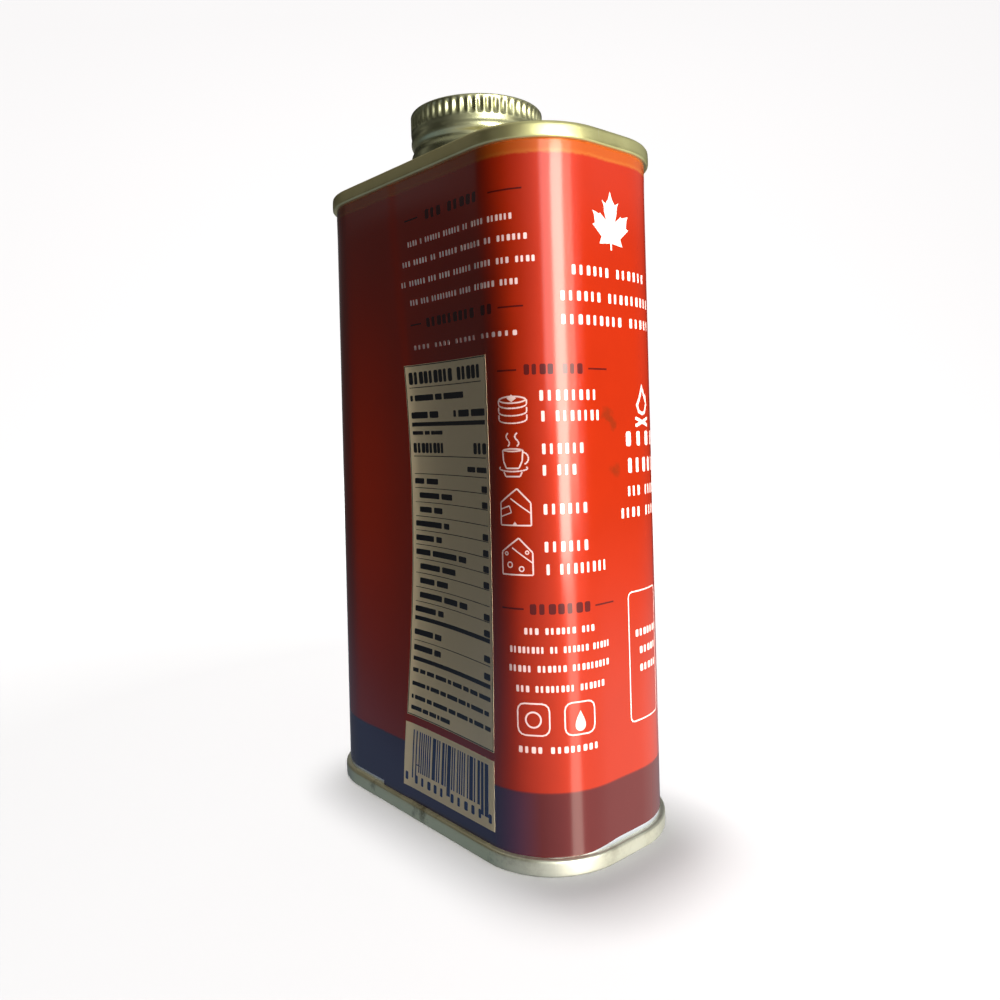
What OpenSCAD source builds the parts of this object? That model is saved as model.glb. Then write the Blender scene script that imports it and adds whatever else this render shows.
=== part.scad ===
// A flat oblong syrup tin with countersunk ends held by double seams, walls drawn in by the
// vacuum of hot filling, a sleeve of printed film and a knurled screw cap on a threaded neck.
// Millimetres. The origin is the bottom centre. +Z is up, the broad faces look along -Y and
// +Y, and the narrow sides look along +X and -X.

/* [Tin] */
// Height of the tin over both end seams
tin_h = 120; // [90:1:160]
// Width of the body wall, from narrow side to narrow side
body_w = 68; // [54:0.5:90]
// Depth of the body wall, from broad face to broad face
body_d = 35.4; // [34:0.2:56]
// Radius of the four upright corners of the body wall
corner_r = 13.6; // [8:0.2:16.4]
// Thickness of the tinplate
plate_t = 0.25; // [0.2:0.05:0.4]

/* [End seams] */
// Height of each double seam
seam_h = 2.8; // [2.4:0.1:3.6]
// How far a seam stands out from the body wall
seam_out = 1; // [0.6:0.1:1.6]
// How far the top of the body wall stays below the crown of its seam
seam_crown = 0.6; // [0.4:0.1:1]
// Radius of the seam's rounded crown
crown_r = 0.55; // [0.3:0.05:0.7]
// Depth of each end panel below the crown of its seam
countersink = 3.6; // [3:0.1:6]
// Width of the flat groove round each end panel
moat_w = 3; // [2:0.5:5]
// How far the middle of each end panel is raised out of its groove
panel_step = 0.5; // [0.3:0.1:0.8]

/* [Drawn-in walls] */
// Depth of the hollow in each broad face at its middle
hollow_depth = 3.3; // [1:0.1:5]
// Flat wall left between the hollow and the crown of the top seam
hollow_top = 10; // [4:0.5:20]
// Flat wall left between the hollow and the crown of the bottom seam
hollow_bottom = 6; // [4:0.5:20]
// Wall left between the hollow and the line of each narrow side
hollow_side = 9; // [7:0.5:16]

/* [Label] */
// Thickness of the film
film_t = 0.12; // [0.05:0.01:0.25]
// Bare tin left between the bottom seam and the film
bare_strip = 0.8; // [0:0.1:3]

/* [Neck and cap] */
// Outside diameter of the cap
cap_d = 25.8; // [21:0.1:30]
// Height of the cap
cap_h = 10; // [8:0.1:14]
// Space between the end panel and the lower edge of the cap
cap_lift = 5.5; // [3.5:0.1:9]
// Thickness of the cap's skirt at its beads
skirt_t = 0.9; // [0.7:0.1:1.4]
// Thickness of the cap's top and its liner
cap_top_t = 1.2; // [0.8:0.1:2]
// Height of the knurled band
knurl_h = 2.3; // [1.5:0.1:3.5]
// Number of ribs round the knurled band
knurl_count = 54; // [36:1:72]
// Depth of the grooves between the ribs
knurl_depth = 0.3; // [0.2:0.05:0.4]
// Depth of the two rolled grooves below the knurled band
groove_depth = 0.5; // [0.3:0.05:0.6]
// Running clearance between the cap and the neck
thread_gap = 0.3; // [0.2:0.05:0.5]
// How far the neck's foot spreads beyond the neck
foot_out = 2; // [1:0.1:3]
// Height of the neck's foot
foot_h = 1.6; // [1:0.1:2.4]

/* [Hidden] */
$fn = 96;
slack = 1;
tinplate = [0.62, 0.60, 0.55];
gold_lacquer = [0.72, 0.62, 0.33];
print_red = [0.80, 0.16, 0.09];
// Heights of the end panels, taken on their outer faces in the groove
top_moat_z = tin_h - countersink;
bottom_moat_z = countersink;
// The two curvatures of a hollow follow from its depth, height and width
hollow_h = tin_h - hollow_top - hollow_bottom;
hollow_w = body_w - 2 * hollow_side;
hollow_z = hollow_bottom + hollow_h / 2;
hollow_r_up = (pow(hollow_h / 2, 2) + pow(hollow_depth, 2)) / (2 * hollow_depth);
hollow_r_across = (pow(hollow_w / 2, 2) + pow(hollow_depth, 2)) / (2 * hollow_depth);
hollow_turn = 2 * asin(tin_h / (hollow_r_up + slack));
// The cap and neck share one axis and these radii and heights. Plain lands part the knurled
// band from the rounded top edge and from the grooves.
cap_r = cap_d / 2;
cap_z = top_moat_z + panel_step + cap_lift;
neck_r = cap_r - groove_depth - skirt_t - thread_gap;
neck_top_z = cap_z + cap_h - cap_top_t;
land = 0.2;
knurl_z = cap_h - crown_r - land - knurl_h;
groove_w = 0.9;
bead_w = (knurl_z - land - 2 * groove_w) / 2;

// The tin's plan, grown or shrunk all round by one amount
module plan(grow = 0) {
    r = corner_r + grow;
    x = body_w / 2 - corner_r;
    y = body_d / 2 - corner_r;
    square([2 * x, 2 * (y + r)], center = true);
    square([2 * (x + r), 2 * y], center = true);
    for (sx = [-1, 1], sy = [-1, 1])
        translate([sx * x, sy * y]) circle(r);
}

// An upright slab of the tin's plan between two heights
module slab(z0, z1, grow = 0) {
    translate([0, 0, z0]) linear_extrude(z1 - z0) plan(grow);
}

// Sweeps a flat section round the tin. In the section, x is the distance outwards from the
// body wall and y is the height.
module sweep_round_wall() {
    x = body_w / 2 - corner_r;
    y = body_d / 2 - corner_r;
    for (side = [0, 1]) rotate([0, 0, 180 * side]) {
        translate([body_w / 2, y, 0]) rotate([90, 0, 0])
            linear_extrude(2 * y) children();
        translate([-x, body_d / 2, 0]) rotate([90, 0, 90])
            linear_extrude(2 * x) children();
        translate([x, y, 0]) rotate_extrude(angle = 90)
            translate([corner_r, 0]) children();
        translate([-x, y, 0]) rotate([0, 0, 90]) rotate_extrude(angle = 90)
            translate([corner_r, 0]) children();
    }
}

// Section of a double seam whose crown is at height 0: a rounded fold over the wall's edge,
// whose inner leg is the chuck wall that goes down to the end panel
module seam_section() {
    inner = 2 * plate_t;
    leg = plate_t;
    difference() {
        union() {
            translate([-inner, -seam_h + crown_r])
                square([inner + seam_out, seam_h - 2 * crown_r]);
            translate([-inner + crown_r, -crown_r])
                square([inner + seam_out - 2 * crown_r, crown_r]);
            translate([-inner, -seam_h])
                square([inner + seam_out - crown_r, crown_r]);
            for (x = [-inner + crown_r, seam_out - crown_r])
                translate([x, -crown_r]) circle(crown_r);
            translate([seam_out - crown_r, crown_r - seam_h]) circle(crown_r);
        }
        translate([-leg, -seam_h - slack])
            square([leg, seam_h + slack - seam_crown]);
    }
    translate([-inner, -countersink])
        square([inner - leg, countersink - seam_h + crown_r]);
}

// One end of the tin with its crown at height 0 and its outer face up
module tin_end() {
    sweep_round_wall() seam_section();
    slab(-countersink - plate_t, -countersink, -plate_t);
    slab(-countersink - plate_t, -countersink + panel_step, -2 * plate_t - moat_w);
}

// A barrel-shaped block whose bulge is the hollow of one broad face, on the side of +Y
module hollow_former(clear = 0) {
    translate([0, body_d / 2 - hollow_depth + hollow_r_up, hollow_z])
        rotate([0, -90, 0]) rotate([0, 0, -90 - hollow_turn / 2])
            rotate_extrude(angle = hollow_turn)
                translate([hollow_r_up - hollow_r_across, 0]) intersection() {
                    circle(hollow_r_across - clear, $fn = 360);
                    translate([0, -hollow_w])
                        square([hollow_r_across, 2 * hollow_w]);
                }
}

module both_hollows(clear = 0) {
    for (turn = [0, 180]) rotate([0, 0, turn]) hollow_former(clear);
}

// The drawn tin wall with the syrup that fills it, open to the pockets of both ends
module can_body() {
    color(tinplate) difference() {
        slab(seam_crown, tin_h - seam_crown);
        slab(seam_crown - slack, bottom_moat_z + plate_t, -plate_t);
        slab(top_moat_z - plate_t, tin_h, -plate_t);
        both_hollows();
    }
}

module bottom_end() {
    color(gold_lacquer) mirror([0, 0, 1]) tin_end();
}

module top_end() {
    color(gold_lacquer) translate([0, 0, tin_h]) tin_end();
}

// The filled neck that is seamed to the top panel, with its spread foot
module neck() {
    foot_z = top_moat_z + panel_step;
    color(tinplate) {
        translate([0, 0, foot_z]) cylinder(r = neck_r, h = neck_top_z - foot_z);
        translate([0, 0, foot_z])
            cylinder(r1 = neck_r + foot_out, r2 = neck_r + foot_out / 2, h = foot_h);
    }
}

// Half of the cap's section, with a rounded top edge and two rolled grooves
module cap_section() {
    difference() {
        union() {
            square([cap_r, cap_h - crown_r]);
            square([cap_r - crown_r, cap_h]);
            translate([cap_r - crown_r, cap_h - crown_r]) circle(crown_r);
        }
        for (z = [knurl_z - land - groove_w / 2, groove_w / 2 + bead_w])
            translate([cap_r, z]) rolled_groove();
        square([neck_r + thread_gap, cap_h - cap_top_t]);
    }
}

// A groove of the set depth whose section is an arc of a circle
module rolled_groove() {
    r = (pow(groove_w / 2, 2) + pow(groove_depth, 2)) / (2 * groove_depth);
    translate([r - groove_depth, 0]) circle(r);
}

module screw_cap() {
    cut_r = 3.14159 * cap_r / knurl_count / 2;
    color(gold_lacquer) translate([0, 0, cap_z]) difference() {
        rotate_extrude() cap_section();
        for (i = [0 : knurl_count - 1])
            rotate([0, 0, 360 * i / knurl_count])
                translate([cap_r + cut_r - knurl_depth, 0, knurl_z])
                    cylinder(r = cut_r, h = knurl_h, $fn = 24);
    }
}

// The printed sleeve, which lies on the wall and follows its hollows
module label_film() {
    z0 = seam_h + bare_strip;
    z1 = tin_h - seam_h;
    color(print_red) difference() {
        slab(z0, z1, film_t);
        both_hollows(film_t);
        difference() {
            slab(z0 - slack, z1 + slack);
            both_hollows();
        }
    }
}

can_body();
bottom_end();
top_end();
neck();
screw_cap();
label_film();
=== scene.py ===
# %% [markdown]
# # A flat syrup tin
# The tin is a drawn oblong can with double-seamed ends, a knurled screw cap and a sleeve of
# printed film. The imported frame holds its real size, so every piece below takes its place from
# that frame. Lengths are written in millimetres and turned into metres as the meshes are made.

# %% Load the frame
import math
import random

import bmesh
import bpy
from mathutils import Matrix, Vector, noise


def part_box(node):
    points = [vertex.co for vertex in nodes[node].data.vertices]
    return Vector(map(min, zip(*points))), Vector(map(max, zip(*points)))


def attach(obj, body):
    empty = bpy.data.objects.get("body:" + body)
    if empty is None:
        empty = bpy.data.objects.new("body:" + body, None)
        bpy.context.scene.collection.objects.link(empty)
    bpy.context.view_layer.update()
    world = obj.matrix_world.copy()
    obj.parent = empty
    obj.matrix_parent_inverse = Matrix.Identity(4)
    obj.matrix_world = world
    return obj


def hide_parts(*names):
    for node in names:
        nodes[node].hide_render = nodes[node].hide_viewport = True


MM = 0.001
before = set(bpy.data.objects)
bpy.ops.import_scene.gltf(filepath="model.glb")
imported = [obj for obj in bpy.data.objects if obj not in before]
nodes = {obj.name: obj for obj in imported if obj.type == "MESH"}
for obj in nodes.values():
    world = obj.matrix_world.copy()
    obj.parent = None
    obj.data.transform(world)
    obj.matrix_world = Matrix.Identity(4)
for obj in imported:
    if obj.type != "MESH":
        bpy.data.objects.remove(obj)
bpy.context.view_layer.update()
scene = bpy.context.scene
print("frame nodes:", sorted(nodes))

# %% [markdown]
# ## The camera
# A close camera looks almost level at the upright corner between a broad face and a narrow
# side. Standing close gives the strong perspective, so the lens is short and the lines of the
# rims run steeply.

# %% Camera
EYE = Vector((125.2, -104.37, 71.67)) * MM
HEADING, PITCH, ROLL = (math.radians(a) for a in (-49.094, 0.123, -1.49))


def camera_turn(heading, pitch, roll):
    """The camera's axes for a heading from +Y, a pitch above level and a roll."""
    flat = math.cos(pitch)
    ahead = Vector((math.sin(heading) * flat, math.cos(heading) * flat, math.sin(pitch)))
    level = Vector((math.cos(heading), -math.sin(heading), 0))
    upward = level.cross(ahead)
    right = math.cos(roll) * level + math.sin(roll) * upward
    up = math.cos(roll) * upward - math.sin(roll) * level
    return Matrix((right, up, -ahead)).transposed()


camera_data = bpy.data.cameras.new("camera")
camera_data.sensor_width = 36
camera_data.lens = 29.72
camera_data.shift_y = -0.0761
camera_data.clip_start = 10 * MM
camera_data.dof.use_dof = False
camera = bpy.data.objects.new("camera", camera_data)
camera.matrix_world = Matrix.Translation(EYE) @ camera_turn(HEADING, PITCH, ROLL).to_4x4()
scene.collection.objects.link(camera)
scene.camera = camera
scene.view_settings.view_transform = "Standard"
print("camera", tuple(round(v / MM, 1) for v in EYE), "lens", camera_data.lens)

# %% [markdown]
# ## Node helpers
# Every finish is built from shader nodes. These few helpers keep the trees short: one adds a
# node and sets its sockets, one makes a colour ramp, and one makes a node group with named
# inputs and outputs.

# %% Node helpers


def add(tree, kind, inputs=None, **settings):
    """Adds a shader node. A socket value that is a socket becomes a link."""
    node = tree.nodes.new("ShaderNode" + kind)
    for name, value in settings.items():
        setattr(node, name, value)
    for name, value in (inputs or {}).items():
        if isinstance(value, bpy.types.NodeSocket):
            tree.links.new(value, node.inputs[name])
        else:
            node.inputs[name].default_value = value
    return node


def maths(tree, operation, *values, clamp=False):
    """A Math node over numbers or sockets, as its output socket."""
    inputs = dict(enumerate(values))
    return add(tree, "Math", inputs, operation=operation, use_clamp=clamp).outputs[0]


def ramp(tree, factor, stops, mode="LINEAR"):
    """A colour ramp. Each stop is a place and a grey level or a colour."""
    node = add(tree, "ValToRGB", {"Fac": factor})
    band = node.color_ramp
    band.interpolation = mode
    while len(band.elements) < len(stops):
        band.elements.new(1)
    for element, (place, value) in zip(band.elements, stops):
        element.position = place
        colour = (value,) * 3 if isinstance(value, (int, float)) else value
        element.color = (*colour, 1)
    return node.outputs["Color"]


def blend_colours(tree, factor, first, second, mode="MIX"):
    """Mixes two colours, given as sockets or values."""
    node = add(tree, "Mix", data_type="RGBA", blend_type=mode)
    for place, value in ((0, factor), (6, first), (7, second)):
        if isinstance(value, bpy.types.NodeSocket):
            tree.links.new(value, node.inputs[place])
        elif place:
            node.inputs[place].default_value = (*value, 1)
        else:
            node.inputs[place].default_value = value
    return node.outputs[2]


def stretched_noise(tree, place, stretch, detail, rough=0.5):
    """Noise drawn out by its own scale along each axis, as an output socket."""
    drawn = add(tree, "Mapping", {"Vector": place, "Scale": stretch})
    inputs = {"Vector": drawn.outputs[0], "Scale": 1.0, "Detail": detail, "Roughness": rough}
    return add(tree, "TexNoise", inputs).outputs["Fac"]


def join(tree, node, **sources):
    """Links output sockets to a node's inputs by name, with _ for a space."""
    for label, source in sources.items():
        tree.links.new(source, node.inputs[label.replace("_", " ")])


def new_group(name, inputs, outputs):
    """A shader node group with named float inputs and outputs."""
    group = bpy.data.node_groups.new(name, "ShaderNodeTree")
    for label, default in inputs.items():
        socket = group.interface.new_socket(label, in_out="INPUT", socket_type="NodeSocketFloat")
        socket.default_value = default
    for label in outputs:
        group.interface.new_socket(label, in_out="OUTPUT", socket_type="NodeSocketFloat")
    return group, group.nodes.new("NodeGroupInput"), group.nodes.new("NodeGroupOutput")


def new_material(name, **principled):
    """A material with its Principled shader, whose constants are set on its own sockets."""
    material = bpy.data.materials.new(name)
    material.use_nodes = True
    tree = material.node_tree
    shader = tree.nodes["Principled BSDF"]
    for label, value in principled.items():
        shader.inputs[label.replace("_", " ")].default_value = value
    return material, tree, shader


# %% [markdown]
# ## The studio
# Metal and gloss show what is round them, so most of the look is decided here. The room is a
# world whose brightness changes with the compass direction: bright towards the key side, dark
# on the far left. Some lamps light only the matt surfaces. Others show only in the gloss, and
# they draw the upright streak on the corner, so that each job can be set on its own.

# %% Room light
# Brightness by compass direction in degrees, level with the tin and higher up, and the colour
# of the table that it stands on
SKY = [(-180, 0.08), (-165, 0.07), (-145, 0.08), (-128, 0.06), (-108, 0.04), (-85, 0.035),
       (-66, 0.12), (-45, 0.38), (-20, 0.42), (-4, 0.6), (8, 0.42), (25, 0.09), (60, 0.06), (80, 0.08),
       (105, 0.03), (128, 0.03), (145, 0.3), (160, 0.3), (172, 0.05), (180, 0.14)]
HIGH = [(-180, 0.02), (-158, 0.05), (-145, 0.26), (-133, 0.04), (-115, 0.01), (-90, 0.02),
        (-66, 0.22), (-45, 0.65), (-20, 0.95), (12, 0.95), (32, 0.52), (60, 0.42), (85, 0.28),
        (110, 0.03), (130, 0.02), (180, 0.02)]
TABLE = [(-180, (0.1, 0.12, 0.16)), (-140, (0.2, 0.28, 0.4)), (-100, (0.22, 0.26, 0.34)),
         (-60, (0.5, 0.5, 0.55)), (0, (1.1, 1.0, 0.95)), (60, (1.1, 1.05, 1.0)),
         (120, (0.2, 0.2, 0.24)), (180, (0.1, 0.12, 0.16))]

# How much of the room's light reaches matt surfaces. Reflections always see all of it
ROOM_FILL = 0.5
# Tints of the lamps, and the point at the tin's middle that they face
WHITE, WARM = (1.0, 1.0, 1.0), (1.0, 0.9, 0.78)
AIM = Vector((0, 0, 0.06))


def compass_ramp(tree, turn, stops):
    """A ramp whose stops lie at compass directions from -180 to 180 degrees."""
    return ramp(tree, turn, [((direction + 180) / 360, value) for direction, value in stops])


def room_light():
    """The world: a ring of light at the tin's height, another above it, a table and a ceiling."""
    world = bpy.data.worlds.new("room")
    world.use_nodes = True
    scene.world = world
    tree = world.node_tree
    place = add(tree, "TexCoord").outputs["Generated"]
    axes = add(tree, "SeparateXYZ", {"Vector": place})
    turn = maths(tree, "ARCTAN2", axes.outputs["Y"], axes.outputs["X"])
    turn = maths(tree, "MULTIPLY_ADD", turn, 0.5 / math.pi, 0.5)
    around = compass_ramp(tree, turn, SKY)
    height = maths(tree, "MULTIPLY_ADD", axes.outputs["Z"], 0.5, 0.5)
    table = compass_ramp(tree, turn, TABLE)
    low = ramp(tree, height, [(0.0, 0.5), (0.3, 0.9), (0.35, 1.0), (0.40, 0.3), (0.45, 0.0)])
    raised = ramp(tree, height, [(0.605, 0.0), (0.64, 1.0)])
    around = blend_colours(tree, raised, around, compass_ramp(tree, turn, HIGH))
    ceiling = ramp(tree, height, [(0.72, 1.0), (0.8, 0.2)])
    around = blend_colours(tree, 1.0, around, ceiling, "MULTIPLY")
    lift = ramp(tree, height, [(0.5, 0.0), (0.8, 0.0), (1.0, 0.35)])
    colour = blend_colours(tree, low, around, table)
    colour = blend_colours(tree, 1.0, colour, lift, "ADD")
    matte = add(tree, "LightPath").outputs["Is Diffuse Ray"]
    strength = maths(tree, "MULTIPLY_ADD", matte, ROOM_FILL - 1, 1.0)
    tree.links.new(strength, tree.nodes["Background"].inputs["Strength"])
    tree.links.new(colour, tree.nodes["Background"].inputs["Color"])


def soft_box(name, azimuth, distance, height, size, watts, tint=WHITE, lean=0, gloss=False, shadow=True):
    """A rectangular light at a compass direction from the tin, turned to face its middle.

    One kind lights matt surfaces only, and the other, with gloss, shows only in reflections.
    """
    lamp = bpy.data.lights.new(name, "AREA")
    lamp.shape = "RECTANGLE"
    lamp.size, lamp.size_y = size
    lamp.energy = watts
    lamp.color = tint
    lamp.use_shadow = shadow
    turn = math.radians(azimuth)
    place = Vector((math.cos(turn) * distance, math.sin(turn) * distance, height))
    box = bpy.data.objects.new(name, lamp)
    aim = AIM - place
    facing = aim.to_track_quat("-Z", "Y").to_matrix().to_4x4()
    box.matrix_world = Matrix.Translation(place) @ facing @ Matrix.Rotation(math.radians(lean), 4, "Z")
    box.visible_diffuse = not gloss
    box.visible_glossy = gloss
    box.visible_camera = False
    scene.collection.objects.link(box)
    return box


def table_glow(x, y, size, watts, tint):
    """Light thrown up by the bright table close in front of the shaded face."""
    box = soft_box("table_glow", 0, 1, 1, size, watts, tint)
    box.matrix_world = Matrix.Translation((x, y, 0.0015)) @ Matrix.Rotation(math.pi, 4, "X")


room_light()
soft_box("key", 6, 0.65, 0.12, (0.3, 0.3), 15.2, shadow=False)
# The upright streak of gloss: its core, its fainter foot, a haze at its left and a side band
soft_box("streak", -13, 0.62, 0.13, (0.165, 0.38), 3.2, (1.0, 0.95, 0.85), 2, True)
soft_box("streak_low", -7, 0.62, -0.22, (0.16, 0.32), 0.62, WARM, 2, True)
soft_box("streak_haze", -28, 0.62, 0.25, (0.17, 0.34), 0.6, WHITE, 2, True)
soft_box("streak_side", 1, 0.62, 0.15, (0.15, 0.32), 0.6, WARM, 2, True)
# Soft light from above and from behind, and from the table
soft_box("overhead", 160, 0.06, 1.1, (0.12, 0.12), 23)
soft_box("back_fill", 135, 0.9, 0.5, (0.6, 0.6), 14, shadow=False)
table_glow(0.0, -0.05, (0.1, 0.055), 0.003, (0.8, 0.92, 1.0))

# %% [markdown]
# ## The paper sweep
# A pale sheet of paper makes both floor and backdrop, with a wide bend between them that hides
# the join. An edge is spun into the bend and drawn out sideways. It is kept out of mirror
# reflections, as if dark cards stood beside it, and its own faint glow evens out the backdrop.

# %% Paper sweep
# The paper's own glow by distance from the tin in metres, which keeps the backdrop pale
PAPER_GLOW = [(0.0, 0.04), (0.12, 0.06), (0.3, 0.3), (0.55, 0.6), (0.8, 0.8), (1.0, 0.85)]
PAPER = (0.3, 0.296, 0.296, 1)


def paper_sweep():
    """Floor and backdrop as one bent sheet, square to the camera's heading."""
    ahead = Vector((math.sin(HEADING), math.cos(HEADING), 0))
    aside = Vector((math.cos(HEADING), -math.sin(HEADING), 0))
    left_side, before, behind, bend, rise = -2.5 * aside, -1.2 * ahead, 1.0 * ahead, 0.7, 1.5
    bm = bmesh.new()
    start, turn_in = bm.verts.new(before + left_side), bm.verts.new(behind + left_side)
    bm.edges.new((start, turn_in))
    centre = behind + left_side + Vector((0, 0, bend))
    bmesh.ops.spin(bm, geom=[turn_in], cent=centre, axis=aside, angle=math.pi / 2, steps=24)
    top = max(bm.verts, key=lambda v: v.co.z)
    grown = bmesh.ops.extrude_vert_indiv(bm, verts=[top])["verts"]
    bmesh.ops.translate(bm, verts=grown, vec=(0, 0, rise))
    side = bmesh.ops.extrude_edge_only(bm, edges=bm.edges[:])["geom"]
    side = [item for item in side if isinstance(item, bmesh.types.BMVert)]
    bmesh.ops.translate(bm, verts=side, vec=-2 * left_side)
    bmesh.ops.recalc_face_normals(bm, faces=bm.faces)
    mesh = bpy.data.meshes.new("sweep")
    bm.to_mesh(mesh)
    mesh.shade_smooth()
    sweep = bpy.data.objects.new("sweep", mesh)
    scene.collection.objects.link(sweep)
    material, tree, shader = new_material("pale_paper", Base_Color=PAPER, Roughness=0.9,
                                          Specular_IOR_Level=0.1, Emission_Strength=1.0)
    place = add(tree, "TexCoord").outputs["Object"]
    away = add(tree, "VectorMath", {0: place}, operation="LENGTH")
    glow = [(at, tuple(level * c for c in (1.0, 0.985, 0.985))) for at, level in PAPER_GLOW]
    glow = ramp(tree, away.outputs["Value"], glow)
    tree.links.new(glow, shader.inputs["Emission Color"])
    grain = add(tree, "TexNoise", {"Vector": place, "Scale": 900.0})
    bump = add(tree, "Bump", {"Height": grain.outputs["Fac"], "Strength": 0.03, "Distance": 0.0002})
    tree.links.new(bump.outputs["Normal"], shader.inputs["Normal"])
    mesh.materials.append(material)
    sweep.visible_glossy = False
    sweep.visible_diffuse = False


paper_sweep()

# %% [markdown]
# ## The tin's outline as a ruler
# The print, the film and the tin wall all follow one line: round the tin at a height. That
# line is measured as a tape would be, from the middle of the near upright corner, positive
# towards the narrow side and negative along the broad face. One function turns a place on the
# tape and a height into a point in space, and it also holds the hollow that the vacuum of hot
# filling draws into both broad faces.

# %% Outline and hollow
wall_low, wall_high = (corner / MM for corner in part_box("can_body"))
film_low, film_high = (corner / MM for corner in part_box("label_film"))
HALF_W, HALF_D = wall_high.x, wall_high.y
CORNER = 13.6
BEND = CORNER * math.pi / 2
RUN_X, RUN_Y = HALF_W - CORNER, HALF_D - CORNER
TAPE = 2 * math.pi * CORNER + 4 * (RUN_X + RUN_Y)
HOLLOW, HOLLOW_REACH, HOLLOW_Z, HOLLOW_RISE = 3.5, 27.0, 58.0, 54.0
# Tape stations where bends and flats meet: corner, narrow side, corner, broad face and so on
STATIONS = [BEND, 2 * RUN_Y, BEND, 2 * RUN_X, BEND, 2 * RUN_Y, BEND, 2 * RUN_X]


def hollow(x, z):
    """How deep the broad faces are drawn in at a place across the tin and a height."""
    across = max(0.0, 1 - (x / HOLLOW_REACH) ** 2)
    upright = max(0.0, 1 - ((z - HOLLOW_Z) / HOLLOW_RISE) ** 2)
    return HOLLOW * (across * upright) ** 1.5


def on_tin(tape, z, out):
    """The point at a tape reading and height, a distance outside the tin wall."""
    left = (tape + BEND / 2) % TAPE
    stage_no = 0
    while left > STATIONS[stage_no] and stage_no < 7:
        left -= STATIONS[stage_no]
        stage_no += 1
    quarter = stage_no // 2
    signs = ((1, -1), (1, 1), (-1, 1), (-1, -1))[quarter]
    centre = Vector((signs[0] * RUN_X, signs[1] * RUN_Y))
    facing = math.radians(90 * quarter - 90)
    if stage_no % 2:
        facing += math.pi / 2
        centre += Vector((-math.sin(facing), math.cos(facing))) * left
    else:
        facing += left / CORNER
    place = centre + Vector((math.cos(facing), math.sin(facing))) * (CORNER + out)
    side = -1 if place.y < 0 else 1
    return Vector((place.x, place.y - side * hollow(place.x, z), z))


print("tape length", round(TAPE, 1), "mm")

# %% [markdown]
# ## Making pieces
# A bmesh is drawn in millimetres, then written to a mesh in metres. Edges that turn sharply
# are marked so that smooth shading does not roll round them.

# %% Piece helper


def make_piece(name, bm, material, node=None, sharp=40):
    """Writes a bmesh in millimetres to a new piece that rides on the tin."""
    bmesh.ops.transform(bm, matrix=Matrix.Scale(MM, 4), verts=bm.verts)
    limit = math.radians(sharp)
    for edge in bm.edges:
        edge.smooth = not edge.is_manifold or edge.calc_face_angle(0) < limit
    for face in bm.faces:
        face.smooth = True
    mesh = bpy.data.meshes.new(name)
    bm.to_mesh(mesh)
    bm.free()
    mesh.materials.append(material)
    piece = bpy.data.objects.new(name, mesh)
    scene.collection.objects.link(piece)
    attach(piece, "root")
    if node:
        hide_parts(node)
    print(name, len(mesh.polygons), "faces")
    return piece


def oblong_block(z0, z1, grow):
    """A solid of the tin's plan between two heights: a box with its four upright edges rounded."""
    bm = bmesh.new()
    size = Matrix.Diagonal((2 * (HALF_W + grow), 2 * (HALF_D + grow), z1 - z0, 1))
    bmesh.ops.create_cube(bm, size=1, matrix=Matrix.Translation((0, 0, (z0 + z1) / 2)) @ size)
    upright = [e for e in bm.edges if abs(e.verts[0].co.z - e.verts[1].co.z) > 0.1]
    bmesh.ops.bevel(bm, geom=upright, offset=CORNER + grow, segments=24, profile=0.5, affect="EDGES",
                    material=-1)
    return bm


def slice_up(bm, axis, places):
    """Cuts a mesh by planes across one axis, so that it can bend there."""
    normal = Vector((0, 0, 0))
    normal[axis] = 1
    for place in places:
        geom = bm.verts[:] + bm.edges[:] + bm.faces[:]
        bmesh.ops.bisect_plane(bm, geom=geom, plane_co=normal * place, plane_no=normal, dist=1e-4)


def steps(first, last, pitch):
    """Evenly spaced places strictly between two ends."""
    count = max(1, round(abs(last - first) / pitch))
    return [first + (last - first) * i / count for i in range(1, count)]


# %% [markdown]
# ## Shared finish: handled metal
# Tinplate that has been handled carries fine rubbed scratches, faint blotches and tiny dings.
# One node group makes these from noise, and each metal uses it with its own strengths.

# %% Handled metal group


def handled_metal_group():
    """Roughness, blotches and relief of tinplate that has been handled."""
    group, given, result = new_group(
        "handled_metal", {"Base": 0.25, "Spread": 0.15}, ("Roughness", "Blotch", "Height"))
    place = add(group, "TexCoord").outputs["Object"]
    blotch = add(group, "TexNoise", {"Vector": place, "Scale": 220.0, "Detail": 4.0})
    fine = add(group, "TexNoise", {"Vector": place, "Scale": 2600.0, "Detail": 2.0})
    rub = stretched_noise(group, place, (300.0, 300.0, 6000.0), 3.0, 0.7)
    marks = ramp(group, rub, [(0.0, 0.0), (0.62, 0.0), (0.7, 1.0)])
    shade = maths(group, "MULTIPLY", blotch.outputs["Fac"], given.outputs["Spread"])
    shade = maths(group, "ADD", shade, given.outputs["Base"])
    shade = maths(group, "MULTIPLY_ADD", marks, 0.12, shade)
    height = maths(group, "MULTIPLY", marks, 0.5)
    height = maths(group, "MULTIPLY_ADD", fine.outputs["Fac"], 0.35, height)
    join(group, result, Roughness=shade, Blotch=blotch.outputs["Fac"], Height=height)
    return group


HANDLED = handled_metal_group()


def use_group(tree, group, **inputs):
    """Places a node group in a material with its own values."""
    node = add(tree, "Group", node_tree=group)
    for label, value in inputs.items():
        node.inputs[label].default_value = value
    return node


# %% [markdown]
# ## Metals
# The ends and the cap are tinplate under a thin gold lacquer. The lacquer tints the mirror
# below it, so it is a metal with a pale gold colour that deepens in blotches. On the bottom
# seam the lacquer has worn to brown in places where the tin was slid about. The bare wall
# shows as a cool silver strip.

# %% Metals


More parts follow.
